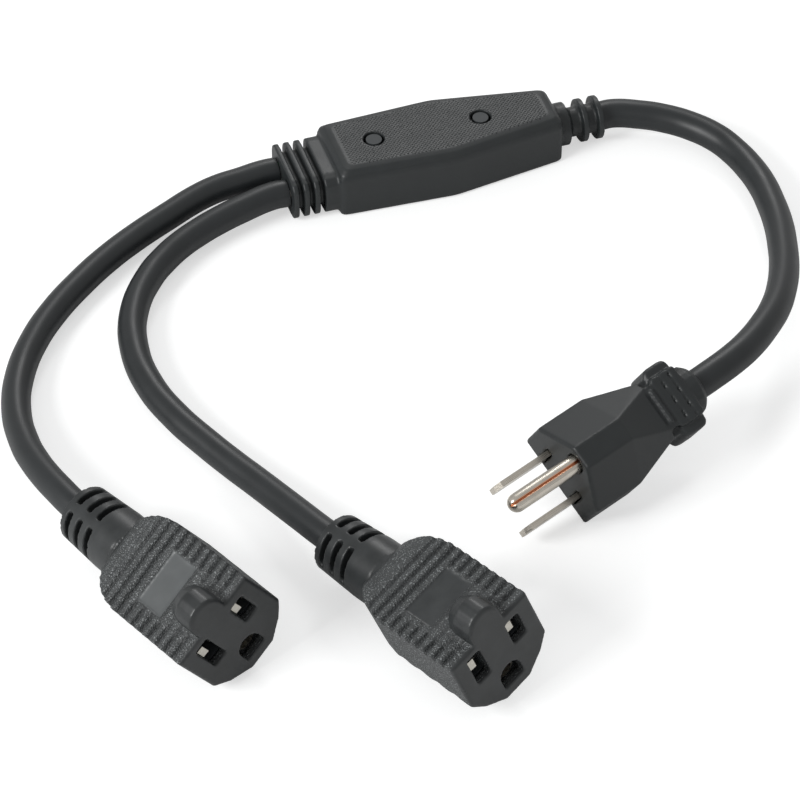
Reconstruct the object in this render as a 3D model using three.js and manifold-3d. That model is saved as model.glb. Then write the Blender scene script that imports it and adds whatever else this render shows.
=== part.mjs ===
// Power cord splitter: a grounded plug, a moulded junction block and two socket connectors on short cords.
// Millimetres, +Z up. The origin is the middle of the junction block's underside. +X runs along the
// block towards the plug's cord, and the two socket connectors lie towards -Y.

import * as THREE from 'three';
import { mergeVertices } from 'three/addons/utils/BufferGeometryUtils.js';
import { ConvexGeometry } from 'three/addons/geometries/ConvexGeometry.js';
import Module from 'manifold-3d';

const wasm = await Module();
wasm.setup();

// Shared sizes of the wiring
const clearance = 0.3;
const overrun = 1;
const bladeSpacing = 12.7;
const groundOffset = 11.9;
const trunkDiameter = 8.1;
const branchDiameter = 7.7;
const leadDiameter = 2;
const barrelDiameter = 3;

// Junction block and its strain reliefs
const block = {
  length: 66, leftWidth: 24, middleWidth: 26.8, rightWidth: 16.2, height: 15,
  edgeRadius: 3.2, footRadius: 0.6, cornerRadius: 1.8, wall: 2.6, axisHeight: 6.4,
};
const relief = { length: 13, collar: 4, finThickness: 1.6, coreInset: 1.9 };
const leftRelief = { width: 22.5, height: 12.2, cornerRadius: 4, fins: 3 };
const rightRelief = { diameter: 12.2, fins: 2 };
const branchSpacing = 9.8;
const boss = { diameter: 4.4, groove: 0.75, sunk: 0.2, places: [-19.8, 11.1] };
const splice = { diameter: 5.2, waist: 4, length: 11, spacing: 6.3, x: 0 };
const crossingHeight = 2.8;

// Socket connectors, measured from the cord's entry towards the face
const socket = {
  length: 59.5, width: 25.6, top: 11.3, bottom: -13.1, flankBottom: -5.2, keelWidth: 8,
  straightLength: 26, neckDiameter: 16.6, endDiameter: 15.2, wall: 2.8, slotHeight: 4.3,
};
// The shoulder's sections: how far behind the straight part, half width, top and bottom
const shoulder = [[3.5, 12.2, 11.2, -12.7], [6, 11.4, 10.9, -11.9], [8.5, 10.1, 10.2, -10.8], [10.7, 8.5, 9.2, -9.5],
  [12.5, 7, 8, -8]];
const slotSize = { width: 4.2, line: 7.8, neutral: 9.4, ground: 6.4 };
const boreGaps = { count: 3, first: 2.3, pitch: 4.05, width: 1.8, coreDiameter: 10, bridge: 2.6 };
const dome = { radius: 5, rise: 7.6, length: 10.2, runOut: 4.5 };
const label = { width: 14.6, length: 8.8, setBack: 13, depth: 0.4 };
const rib = { pitch: 3, groove: 1.3, depth: 0.6, first: 3.4, count: 10, margin: 1 };
const lobe = { pitch: 6, depth: 0.9, count: 5 };
const carrierLength = 21;
const contact = { leaf: 0.5, width: 6, length: 13, gap: 2, tabWidth: 2.3, tabHeight: 3.4, setBack: 0.5 };
const sleeve = { outer: 5.7, inner: 4.9, length: 12, taper: 0.6 };

// Plug, measured from the cord's entry towards the tips
const plug = {
  length: 42.4, blockLength: 14.5, facetLength: 6.5, waistSetBack: 27.8, width: 25.4, bottom: -8.6,
  flankTop: 1.8, ridgeTop: 12.4, ridgeWidth: 6, waistWidth: 16.4, waistHeight: 13.4, wall: 2.4,
  bladeHeight: -3.8,
};
const wing = { width: 20, height: 11, cheekHeight: 14, front: 30.2, back: 38, cornerRadius: 2.2 };
const collar = { diameter: 13.6, end: 10.6 };
const gripBar = { pitch: 2.8, width: 1.1, height: 0.8, span: 9.6, setBack: 23.2, count: 3 };
const wingGroove = { pitch: 2.8, width: 0.7, depth: 0.5, span: 15.5, setBack: 32.8, count: 2 };
const blade = { width: 6.35, thickness: 1.5, length: 17, tipChamfer: 1.6, root: 7, tailLength: 5 };
const pin = { diameter: 4.8, length: 21, wall: 0.8, seam: 0.5, root: 2, tailLength: 10 };
const bridgeLength = 10;

// Where the loose pieces lie: the cord's entry into each, and its turn about +Z, tilt and roll in degrees
const leftPlace = { x: -129.6, y: -110.5, z: 10.95, yaw: -66.6, pitch: 3.7, roll: 33.8 };
const rightPlace = { x: -73.3, y: -138.05, z: 9.75, yaw: -66.1, pitch: 6.7, roll: 18.9 };
const plugPlace = { x: 25.6, y: -121.94, z: 17.99, yaw: 200.6, pitch: -5.6, roll: -31.3 };

// Finishes
const vinyl = () => new THREE.MeshStandardMaterial({ color: 0x3c4143, roughness: 0.5, metalness: 0 });
const cordVinyl = () => new THREE.MeshStandardMaterial({ color: 0x3a3f41, roughness: 0.38, metalness: 0 });
const innerVinyl = () => new THREE.MeshStandardMaterial({ color: 0x33373a, roughness: 0.6, metalness: 0 });
const nickel = () => new THREE.MeshStandardMaterial({ color: 0xb9b3a6, roughness: 0.32, metalness: 1 });
const tinned = () => new THREE.MeshStandardMaterial({ color: 0xa9aaa4, roughness: 0.45, metalness: 1 });
const insulation = {
  line: () => new THREE.MeshStandardMaterial({ color: 0x1b1b1c, roughness: 0.5, metalness: 0 }),
  neutral: () => new THREE.MeshStandardMaterial({ color: 0xe6e4dd, roughness: 0.5, metalness: 0 }),
  ground: () => new THREE.MeshStandardMaterial({ color: 0x2f7a45, roughness: 0.5, metalness: 0 }),
};

const poles = ['line', 'neutral', 'ground'];
const part = new THREE.Group();
const v3 = (x, y, z) => new THREE.Vector3(x, y, z);

// Solids: a closed mesh becomes a solid that can be joined and cut, and turns back into a mesh
function solid(geometry) {
  geometry.deleteAttribute('normal');
  geometry.deleteAttribute('uv');
  const merged = mergeVertices(geometry, 1e-4);
  return new wasm.Manifold(new wasm.Mesh({
    numProp: 3,
    vertProperties: Float32Array.from(merged.attributes.position.array),
    triVerts: Uint32Array.from(merged.index.array),
  }));
}

function joined(solids) {
  return solids.reduce((sum, next) => sum.add(next));
}

function addNode(group, name, body, material) {
  const mesh = body.getMesh();
  const geometry = new THREE.BufferGeometry();
  geometry.setAttribute('position', new THREE.BufferAttribute(Float32Array.from(mesh.vertProperties), 3));
  geometry.setIndex(new THREE.BufferAttribute(Uint32Array.from(mesh.triVerts), 1));
  geometry.computeVertexNormals();
  const node = new THREE.Mesh(geometry, material);
  node.name = name;
  group.add(node);
}

// A closed outline from its corners, each rounded by the same radius
function rounded(corners, radius) {
  const shape = new THREE.Shape();
  const count = corners.length;
  corners.forEach(([x, y], i) => {
    const here = new THREE.Vector2(x, y);
    const before = new THREE.Vector2(...corners[(i + count - 1) % count]).sub(here);
    const after = new THREE.Vector2(...corners[(i + 1) % count]).sub(here);
    const start = here.clone().add(before.clone().setLength(Math.min(radius, before.length() / 2.01)));
    const end = here.clone().add(after.clone().setLength(Math.min(radius, after.length() / 2.01)));
    if (i === 0) shape.moveTo(start.x, start.y);
    else shape.lineTo(start.x, start.y);
    shape.quadraticCurveTo(x, y, end.x, end.y);
  });
  shape.closePath();
  return shape;
}

function rectangle(width, height, x = 0, y = 0) {
  const [w, h] = [width / 2, height / 2];
  return [[x - w, y - h], [x + w, y - h], [x + w, y + h], [x - w, y + h]];
}

// Extrusions of an outline: up from z0, along X with the outline in Y and Z, or across Y with it in X and Z
function upward(shape, z0, height, bevel = 0) {
  const geometry = new THREE.ExtrudeGeometry(shape, {
    depth: height - 2 * bevel, curveSegments: 3, bevelEnabled: bevel > 0,
    bevelThickness: bevel, bevelSize: bevel, bevelOffset: -bevel, bevelSegments: 4,
  });
  return geometry.translate(0, 0, z0 + bevel);
}

function alongX(shape, x0, x1, curveSegments = 3) {
  const geometry = new THREE.ExtrudeGeometry(shape, { depth: x1 - x0, curveSegments, bevelEnabled: false });
  geometry.applyMatrix4(new THREE.Matrix4().makeBasis(v3(0, 1, 0), v3(0, 0, 1), v3(1, 0, 0)));
  return geometry.translate(x0, 0, 0);
}

function acrossY(shape, y0, y1, curveSegments = 3) {
  const geometry = new THREE.ExtrudeGeometry(shape, { depth: y1 - y0, curveSegments, bevelEnabled: false });
  geometry.applyMatrix4(new THREE.Matrix4().makeBasis(v3(1, 0, 0), v3(0, 0, 1), v3(0, -1, 0)));
  return geometry.translate(0, y1, 0);
}

function box(x0, x1, y0, y1, z0, z1) {
  const geometry = new THREE.BoxGeometry(x1 - x0, y1 - y0, z1 - z0);
  return solid(geometry.translate((x0 + x1) / 2, (y0 + y1) / 2, (z0 + z1) / 2));
}

// A turned piece about the X axis from [x, radius] pairs that run back from its +X end, shifted by y and z
function turned(profile, y = 0, z = 0, segments = 20) {
  const points = profile.map(([x, radius]) => new THREE.Vector2(radius, x)).reverse();
  const geometry = new THREE.LatheGeometry(points, segments).rotateZ(-Math.PI / 2);
  geometry.translate(0, y, z);
  return solid(geometry);
}

function rod(x0, x1, diameter, y = 0, z = 0, segments = 12) {
  return turned([[x1, 0], [x1, diameter / 2], [x0, diameter / 2], [x0, 0]], y, z, segments);
}

// A run of evenly spaced places on a smooth curve, its two ends moved straight out if asked
class Run extends THREE.Curve {
  constructor(points, steps, beyond = 0) {
    super();
    const curve = new THREE.CatmullRomCurve3(points);
    const shares = Array.from({ length: steps + 1 }, (unused, i) => i / steps);
    this.places = shares.map((share) => curve.getPointAt(share));
    this.tangents = shares.map((share) => curve.getTangentAt(share));
    this.places[0].addScaledVector(this.tangents[0], -beyond);
    this.places[steps].addScaledVector(this.tangents[steps], beyond);
  }

  getPointAt(share) {
    return this.places[Math.round(share * (this.places.length - 1))].clone();
  }

  getTangentAt(share) {
    return this.tangents[Math.round(share * (this.places.length - 1))].clone();
  }
}

// A round tube along a run, its ends square to it
function tube(run, diameter, sides) {
  const section = new THREE.Shape();
  section.absarc(0, 0, diameter / 2, 0, Math.PI * 2);
  const geometry = new THREE.ExtrudeGeometry(section, {
    extrudePath: run, steps: run.places.length - 1, curveSegments: sides / 2, bevelEnabled: false,
  });
  return solid(geometry);
}

// Leads: insulated conductors, each with a passage a clearance wider that runs out at both ends
const leadSteps = 8;
const leadSides = 6;

function lead(points) {
  return tube(new Run(points, leadSteps), leadDiameter, leadSides);
}

function passage(points) {
  return tube(new Run(points, leadSteps, overrun), leadDiameter + 2 * clearance, leadSides);
}

// Where the three conductors stand in a cord's cut end, as [y, z] off its middle
const twist = 1.75;
const threeInCord = {
  line: [0.9 * twist, 0.5 * twist],
  neutral: [-0.9 * twist, 0.5 * twist],
  ground: [0, -twist],
};

// JUNCTION BLOCK: one moulding with both strain reliefs, around an inner mould that holds the splices
const axisHeight = block.axisHeight;

function blockPlan(inset) {
  const half = block.length / 2 - inset;
  const corner = block.cornerRadius;
  return rounded([
    [-half, -block.leftWidth / 2 + inset], [0, -block.middleWidth / 2 + inset],
    [half, -block.rightWidth / 2 + inset], [half, block.rightWidth / 2 - inset],
    [0, block.middleWidth / 2 - inset], [-half, block.leftWidth / 2 - inset],
  ], corner);
}

// Outside of the block: the plan drawn in at the top by a round edge and at the bottom by a small one
function blockShell() {
  const points = [];
  const ring = (inset, z) => blockPlan(inset).getPoints(3).forEach(({ x, y }) => points.push(v3(x, y, z)));
  const [top, foot] = [block.edgeRadius, block.footRadius];
  ring(foot, 0);
  ring(0.3 * foot, 0.3 * foot);
  ring(0, foot);
  for (let i = 0; i <= 3; i += 1) {
    const angle = (i / 3) * Math.PI / 2;
    ring(top * (1 - Math.cos(angle)), block.height - top + top * Math.sin(angle));
  }
  return solid(new ConvexGeometry(points));
}

function leftReliefSolid() {
  const outer = -block.length / 2 - relief.length;
  const fin = (inset) => rounded(
    rectangle(leftRelief.width - 2 * inset, leftRelief.height - 2 * inset, 0, axisHeight),
    leftRelief.cornerRadius,
  );
  const pieces = [
    solid(alongX(fin(relief.coreInset), outer + relief.finThickness / 2, overrun - block.length / 2)),
    solid(alongX(fin(0), -block.length / 2 - relief.collar, overrun - block.length / 2)),
  ];
  const pitch = (relief.length - relief.collar) / leftRelief.fins;
  for (let i = 0; i < leftRelief.fins; i += 1) {
    const x = outer + i * pitch;
    pieces.push(solid(alongX(fin(0), x, x + relief.finThickness)));
  }
  return joined(pieces);
}

function rightReliefSolid() {
  const inner = block.length / 2;
  const outer = inner + relief.length;
  const radius = rightRelief.diameter / 2;
  const core = radius - relief.coreInset;
  const pitch = (relief.length - relief.collar) / rightRelief.fins;
  const profile = [[outer, 0], [outer, radius]];
  for (let i = 0; i < rightRelief.fins; i += 1) {
    const x = outer - i * pitch - relief.finThickness;
    profile.push([x, radius], [x, core]);
    if (i < rightRelief.fins - 1) profile.push([outer - (i + 1) * pitch, core], [outer - (i + 1) * pitch, radius]);
  }
  profile.push([inner + relief.collar, core], [inner + relief.collar - 1, radius]);
  profile.push([inner - overrun, radius], [inner - overrun, 0]);
  return turned(profile, 0, axisHeight, 18);
}

// Leads inside the block: the trunk's three come from the right at mid height, and each branch's three
// change height before they cross, so that the far branch passes over the near one
function spliceY(pole) {
  return { line: splice.spacing, neutral: -splice.spacing, ground: 0 }[pole];
}

function trunkLeadPoints(pole) {
  const [dy, dz] = threeInCord[pole];
  const start = block.length / 2 + relief.length;
  const end = splice.x + splice.length / 2 + clearance;
  const [y, z] = [spliceY(pole), axisHeight];
  return [
    v3(start, dy, z + dz), v3(start - 10, dy, z + dz), v3(start - 18, 1.2 * dy, z + 0.8 * dz),
    v3(end + 6, 0.85 * y + 0.15 * dy, z), v3(end + 2, y, z), v3(end, y, z),
  ];
}

function branchLeadPoints(pole, side) {
  const [dy, rise] = threeInCord[pole];
  const dz = -side * rise;
  const start = -block.length / 2 - relief.length;
  const end = splice.x - splice.length / 2 - clearance;
  const y0 = side * branchSpacing / 2;
  const spread = 2.9 * Math.sign(dy);
  const level = axisHeight + side * crossingHeight / 2;
  return [
    v3(start, y0 + dy, axisHeight + dz), v3(start + 9, y0 + dy, axisHeight + dz),
    v3(start + 17, y0 + spread, level), v3(start + 21, y0 + spread, level),
    v3(end - 4, spliceY(pole), level), v3(end, spliceY(pole), level),
  ];
}

const junctionLeads = [];
for (const pole of poles) {
  junctionLeads.push([`trunk_lead_${pole}`, pole, trunkLeadPoints(pole)]);
  junctionLeads.push([`left_branch_lead_${pole}`, pole, branchLeadPoints(pole, 1)]);
  junctionLeads.push([`right_branch_lead_${pole}`, pole, branchLeadPoints(pole, -1)]);
}

function spliceSolid(pole, grow = 0) {
  const half = splice.length / 2 + grow;
  const [wide, narrow] = [splice.diameter / 2 + grow, splice.waist / 2 + grow];
  return turned([
    [splice.x + half, 0], [splice.x + half, wide], [splice.x + 2, wide], [splice.x + 1, narrow],
    [splice.x - 1, narrow], [splice.x - 2, wide], [splice.x - half, wide], [splice.x - half, 0],
  ], spliceY(pole), axisHeight, 12);
}

function buildJunction() {
  const passages = joined(junctionLeads.map(([, , points]) => passage(points)));
  const outer = joined([
    blockShell(), leftReliefSolid(), rightReliefSolid(),
  ]);
  const room = solid(upward(blockPlan(block.wall - clearance), block.wall - clearance,
    block.height - 2 * (block.wall - clearance)));
  const bossHole = boss.diameter + 2 * boss.groove;
  const upright = (x, diameter, z0, z1) => {
    const geometry = new THREE.CylinderGeometry(diameter / 2, diameter / 2, z1 - z0, 20);
    return solid(geometry.rotateX(Math.PI / 2).translate(x, 0, (z0 + z1) / 2));
  };
  const holes = boss.places.map((x) => upright(x, bossHole, axisHeight, block.height + overrun));
  addNode(part, 'junction_body', outer.subtract(joined([room, passages, ...holes])), vinyl());

  const bosses = boss.places.map((x) => upright(x, boss.diameter, axisHeight, block.height - boss.sunk));
  const mould = joined([solid(upward(blockPlan(block.wall), block.wall, block.height - 2 * block.wall)), ...bosses]);
  const splices = joined(poles.map((pole) => spliceSolid(pole, clearance)));
  addNode(part, 'junction_inner_mould', mould.subtract(passages).subtract(splices), innerVinyl());
  for (const pole of poles) addNode(part, `splice_${pole}`, spliceSolid(pole), tinned());
  for (const [name, pole, points] of junctionLeads) addNode(part, name, lead(points), insulation[pole]());
}

// SOCKET CONNECTORS: an overmoulded body around a carrier with two spring contacts and a ground sleeve
const faceX = socket.length;
const shoulderX = faceX - socket.straightLength;
const neckX = shoulderX - shoulder[shoulder.length - 1][0];
const carrierX = faceX - socket.wall - carrierLength;
const side = { line: 1, neutral: -1 };

// Section of the body in Y and Z: upright flanks above, slanting to a narrow keel below
function socketOutline(inset, width = socket.width, top = socket.top, bottom = socket.bottom) {
  const half = width / 2 - inset;
  const flank = socket.flankBottom * (width / socket.width);
  const keel = Math.min(socket.keelWidth / 2, half * 0.6);
  const bulge = half - (half - keel) * 0.36;
  const low = bottom + inset;
  return [
    [half, top - inset], [half, flank + 0.3 * inset], [bulge, flank + 0.45 * (low - flank) - 0.3],
    [keel, low], [-keel, low], [-bulge, flank + 0.45 * (low - flank) - 0.3],
    [-half, flank + 0.3 * inset], [-half, top - inset],
  ];
}

function socketHull() {
  const points = [];
  const ring = (x, outline) => outline.forEach(([y, z]) => points.push(v3(x, y, z)));
  ring(faceX, socketOutline(0.4));
  ring(faceX - 0.5, socketOutline(0));
  ring(shoulderX, socketOutline(0));
  for (const [back, half, top, bottom] of shoulder) {
    ring(shoulderX - back, socketOutline(0, 2 * half, top, bottom));
  }
  return solid(new ConvexGeometry(points));
}

function neckSolid() {
  const [wide, end] = [socket.neckDiameter / 2, socket.endDiameter / 2];
  return turned([
    [neckX + 6, 0], [neckX + 6, wide], [0.7 * neckX, wide], [0.9, end], [0, end - 0.8], [0, 0],
  ], 0, 0, 20);
}

// Flexing gaps of the strain relief: rings cut down to the core, left whole at four bridges
function reliefGaps() {
  const outer = socket.neckDiameter;
  const bars = (x0, x1) => joined([
    box(x0 - overrun, x1 + overrun, -outer, outer, -boreGaps.bridge / 2, boreGaps.bridge / 2),
    box(x0 - overrun, x1 + overrun, -boreGaps.bridge / 2, boreGaps.bridge / 2, -outer, outer),
  ]);
  const cuts = [];
  for (let i = 0; i < boreGaps.count; i += 1) {
    const x0 = boreGaps.first + i * boreGaps.pitch;
    const x1 = x0 + boreGaps.width;
    const ring = rod(x0, x1, outer * 1.3, 0, 0, 8).subtract(rod(x0 - 1, x1 + 1, boreGaps.coreDiameter, 0, 0, 16));
    cuts.push(ring.subtract(bars(x0, x1)));
  }
  return joined(cuts);
}

// Locating dome on the top, flush with the face and rounded off towards the label
function domeSolid() {
  const points = [];
  const foot = socket.top - 1;
  const station = (back, share) => {
    const [x, radius] = [faceX - back, dome.radius * share];
    const middle = socket.top + dome.rise - dome.radius - 2 * (1 - share) * dome.radius;
    for (let i = 0; i <= 8; i += 1) {
      const angle = (i / 8) * Math.PI;
      points.push(v3(x, radius * Math.cos(angle), middle + radius * Math.sin(angle)));
    }
    points.push(v3(x, radius, foot), v3(x, -radius, foot));
  };
  station(0, 0.94);
  station(0.4, 1);
  station(dome.length - dome.runOut, 1);
  station(dome.length - 0.35 * dome.runOut, 0.88);
  station(dome.length, 0.6);
  return solid(new ConvexGeometry(points));
}

// Cross grooves between the ribs of the top, kept clear of the label and the dome
function ribGrooves() {
  const grooves = [];
  const half = socket.width / 2 + overrun;
  const clearOf = label.width / 2 + rib.margin;
  const labelEnd = faceX - label.setBack - label.length - rib.margin;
  for (let i = 0; i < rib.count; i += 1) {
    const x = faceX - rib.first - i * rib.pitch;
    const [bottom, top] = [socket.top - rib.depth, socket.top + overrun];
    const wide = rib.groove / 2;
    const profile = new THREE.Shape([
      new THREE.Vector2(x - wide / 2, bottom), new THREE.Vector2(x + wide / 2, bottom),
      new THREE.Vector2(x + wide + 0.5, top), new THREE.Vector2(x - wide - 0.5, top),
    ]);
    if (x < labelEnd) grooves.push(solid(acrossY(profile, -half, half)));
    else grooves.push(solid(acrossY(profile, clearOf, half)), solid(acrossY(profile, -half, -clearOf)));
  }
  return joined(grooves);
}

// Finger lobes along the two slanting sides: the hollows between round lobes are cut away
function lobeHollows() {
  const half = socket.width / 2;
  const keel = socket.keelWidth / 2;
  const slant = Math.atan2(socket.flankBottom - socket.bottom, half - keel);
  const middle = [(half + keel) / 2, (socket.flankBottom + socket.bottom) / 2];
  const reach = Math.hypot(half - keel, socket.flankBottom - socket.bottom) * 0.75;
  const hollows = [];
  for (let i = 1; i <= lobe.count; i += 1) {
    const x = faceX - i * lobe.pitch;
    const profile = new THREE.Shape();
    profile.moveTo(x - lobe.pitch / 2, -lobe.depth * 2.2);
    profile.lineTo(x - lobe.pitch / 2, 0);
    profile.quadraticCurveTo(x - lobe.pitch / 8, 0.1, x, lobe.depth);
    profile.quadraticCurveTo(x + lobe.pitch / 8, 0.1, x + lobe.pitch / 2, 0);
    profile.lineTo(x + lobe.pitch / 2, -lobe.depth * 2.2);
    const cut = acrossY(profile, -reach, reach, 2).translate(0, 0, -1.1);
    for (const turn of [1, -1]) {
      const piece = cut.clone().rotateX(turn * slant).translate(0, turn * middle[0], middle[1]);
      hollows.push(solid(piece));
    }
  }
  return joined(hollows);
}

// Openings of the face: two upright slots and a ground hole with a round top and a flat foot
function groundHole(grow) {
  const radius = slotSize.ground / 2 + grow;
  const z = socket.slotHeight - groundOffset + 1;
  const shape = new THREE.Shape();
  shape.moveTo(-radius, z - radius - grow);
  shape.lineTo(radius, z - radius - grow);
  shape.absarc(0, z, radius, 0, Math.PI);
  shape.closePath();
  return shape;
}

function slotSolid(pole, x0, x1, grow = 0) {
  const y = side[pole] * bladeSpacing / 2;
  return solid(alongX(rounded(
    rectangle(slotSize.width + 2 * grow, slotSize[pole] + 2 * grow, y, socket.slotHeight), 0.3,
  ), x0, x1, 1));
}

function contactX() {
  const front = faceX - socket.wall - contact.setBack;
  return [front - contact.length, front];
}

// Spring contact: two leaves joined at the back, a tab bent across the front, and a crimp barrel
function contactSolid(pole) {
  const [back, front] = contactX();
  const y = side[pole] * bladeSpacing / 2;
  const [inner, outer] = [contact.gap / 2, contact.gap / 2 + contact.leaf];
  const [low, high] = [socket.slotHeight - contact.width / 2, socket.slotHeight + contact.width / 2];
  const leaves = box(back, front, y - outer, y + outer, low, high)
    .subtract(box(back + contact.leaf, front + overrun, y - inner, y + inner, low - overrun, high + overrun));
  const away = side[pole] * contact.leaf / 2;
  const tab = box(front - contact.leaf, front, y - contact.tabWidth / 2 + away, y + contact.tabWidth / 2 + away,
    high - contact.tabHeight, high);
  return joined([leaves, tab, rod(back - blade.tailLength, back + 0.2, barrelDiameter, y, socket.slotHeight)]);
}

function sleeveSolid() {
  const [, front] = contactX();
  const back = front - sleeve.length;
  const [outer, inner] = [sleeve.outer / 2, sleeve.inner / 2];
  const z = socket.slotHeight - groundOffset;
  return turned([
    [front, inner], [front, outer], [back, outer], [back - sleeve.taper, barrelDiameter / 2],
    [back - blade.tailLength, barrelDiameter / 2], [back - blade.tailLength, 0], [back, 0],
    [back + sleeve.taper, inner],
    [front, inner],
  ], 0, z, 16);
}

// Where a contact's barrel ends and its lead begins
function contactTail(pole) {
  const [back, front] = contactX();
  if (pole === 'ground') return [front - sleeve.length - blade.tailLength, 0, socket.slotHeight - groundOffset];
  return [back - blade.tailLength, side[pole] * bladeSpacing / 2, socket.slotHeight];
}

function socketLeadPoints(pole) {
  const [dy, dz] = threeInCord[pole];
  const [end, y, z] = contactTail(pole);
  const x = end - clearance;
  return [
    v3(0, dy, dz), v3(7, dy, dz), v3(14, dy, dz), v3(21, 0.7 * dy + 0.3 * y, 0.7 * dz + 0.3 * z),
    v3(x - 6, y, z), v3(x, y, z),
  ];
}

// Where a piece lies: turned about the upright, then tilted nose up, then rolled about its own axis
function placedGroup(place) {
  const group = new THREE.Group();
  const angles = [place.roll, -place.pitch, place.yaw].map(THREE.MathUtils.degToRad);
  group.rotation.set(...angles, 'ZYX');
  group.position.set(place.x, place.y, place.z);
  part.add(group);
  return group;
}

function buildSocket(prefix, place) {
  const group = placedGroup(place);
  const passages = joined(poles.map((pole) => passage(socketLeadPoints(pole))));
  const room = solid(alongX(rounded(socketOutline(socket.wall - clearance), 0.5),
    carrierX - clearance, faceX - socket.wall + clearance, 1));
  const throughFace = [carrierX + carrierLength - overrun, faceX + overrun];
  const mouths = joined([
    slotSolid('line', ...throughFace), slotSolid('neutral', ...throughFace),
    solid(alongX(groundHole(0), ...throughFace, 6)),
  ]);
  const labelX = faceX - label.setBack;
  const labelPocket = box(labelX - label.length, labelX, -label.width / 2, label.width / 2,
    socket.top - label.depth, socket.top + overrun);
  const cuts = joined([ribGrooves(), lobeHollows(), labelPocket]);
  const body = joined([socketHull().subtract(cuts), neckSolid().subtract(reliefGaps()), domeSolid()])
    .subtract(joined([room, mouths, passages]));
  addNode(group, `${prefix}_socket_body`, body, vinyl());

  // The carrier fills the body's room, with a pocket for each contact and its barrel
  const [back, front] = contactX();
  const barrels = poles.map((pole) => {
    const [x, y, z] = contactTail(pole);
    return rod(x - overrun, x + 7, barrelDiameter + 2 * clearance, y, z);
  });
  const pockets = joined([
    slotSolid('line', back - clearance, front + 5), slotSolid('neutral', back - clearance, front + 5),
    solid(alongX(groundHole(clearance), front - sleeve.length - sleeve.taper - clearance, front + 5, 6)), ...barrels, passages,
  ]);
  const carrier = solid(alongX(rounded(socketOutline(socket.wall), 0.5), carrierX, carrierX + carrierLength, 1));
  addNode(group, `${prefix}_contact_carrier`, carrier.subtract(pockets), innerVinyl());
  for (const pole of ['line', 'neutral']) addNode(group, `${prefix}_contact_${pole}`, contactSolid(pole), nickel());
  addNode(group, `${prefix}_ground_sleeve`, sleeveSolid(), nickel());
  for (const pole of poles) {
    addNode(group, `${prefix}_socket_lead_${pole}`, lead(socketLeadPoints(pole)), insulation[pole]());
  }
}

// PLUG: an overmoulded body around a bridge that holds two blades and a folded ground pin
const plugFace = plug.length;
const groundHeight = plug.bladeHeight + groundOffset;

function houseOutline(inset) {
  const half = plug.width / 2 - inset;
  const ridge = plug.ridgeWidth / 2;
  return [
    [half, plug.bottom + inset], [half, plug.flankTop], [ridge, plug.ridgeTop - inset],
    [-ridge, plug.ridgeTop - inset], [-half, plug.flankTop], [-half, plug.bottom + inset],
  ];
}

function plugHull() {
  const ring = (x, outline) => outline.map(([y, z]) => v3(x, y, z));
  const [halfWidth, halfHeight] = [plug.waistWidth / 2, plug.waistHeight / 2];
  const blockEnd = ring(plugFace - plug.blockLength, houseOutline(0));
  const frontBlock = [...ring(plugFace, houseOutline(0.5)), ...ring(plugFace - 0.6, houseOutline(0)), ...blockEnd];
  const waist = plugFace - plug.waistSetBack;
  const facet = plugFace - plug.blockLength - plug.facetLength;
  const share = plug.facetLength / (plug.waistSetBack - plug.blockLength);
  const middle = plug.width / 2 + (halfWidth - plug.width / 2) * share;
  const taper = [...blockEnd];
  for (const way of [-1, 1]) {
    taper.push(...ring(facet, [
      [way * 0.45 * middle, halfHeight + 0.6], [way * middle, 2], [way * middle, -halfHeight - 0.9],
    ]));
    taper.push(...ring(waist, [
      [way * halfWidth, -halfHeight + 1.5], [way * halfWidth, halfHeight - 2],
      [way * (halfWidth - 2), halfHeight], [way * (halfWidth - 1.5), -halfHeight],
    ]));
  }
  return solid(new ConvexGeometry(frontBlock)).add(solid(new ConvexGeometry(taper)));
}

// Grip at the back: a waist, a wide wing with round corners and a round collar at the cord
function plugGrip() {
  const halfWaist = plug.waistWidth / 2;
  const [front, back] = [plugFace - wing.front, plugFace - wing.back];
  const waistStart = plugFace - plug.waistSetBack + 0.6;
  const waist = box(front - 1, waistStart, -halfWaist, halfWaist, -plug.waistHeight / 2 + 1.5, plug.waistHeight / 2 - 2)
    .add(box(front - 1, waistStart, -halfWaist + 2, halfWaist - 2, -plug.waistHeight / 2, plug.waistHeight / 2));
  const wings = solid(upward(rounded(rectangle(front - back, wing.width, (front + back) / 2), wing.cornerRadius),
    -wing.height / 2, wing.height, 1));
  const cheek = solid(upward(rounded(rectangle(front - back, 2 * halfWaist - 2, (front + back) / 2), 1),
    -wing.cheekHeight / 2, wing.cheekHeight, 0.5));
  const [wide, end] = [collar.diameter / 2, collar.end / 2];
  const neck = turned([[back + 1.5, 0], [back + 1.5, wide], [1.6, wide], [0.5, 0.4 * wide + 0.6 * end], [0, end], [0, 0]]);
  return joined([waist, wings, cheek, neck]);
}

function gripDetails() {
  const bars = [];
  const grooves = [];
  const top = plug.waistHeight / 2;
  for (let i = 0; i < gripBar.count; i += 1) {
    const x = plugFace - gripBar.setBack - i * gripBar.pitch;
    const lift = i === 0 ? 0.3 : 0;
    bars.push(box(x - gripBar.width / 2, x + gripBar.width / 2, -gripBar.span / 2, gripBar.span / 2,
      top - 1, top + gripBar.height + lift));
  }
  for (let i = 0; i < wingGroove.count; i += 1) {
    const x = plugFace - wingGroove.setBack - i * wingGroove.pitch;
    grooves.push(box(x - wingGroove.width / 2, x + wingGroove.width / 2, -wingGroove.span / 2, wingGroove.span / 2,
      top - wingGroove.depth, top + overrun));
  }
  return { bars: joined(bars), grooves: joined(grooves) };
}

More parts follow.
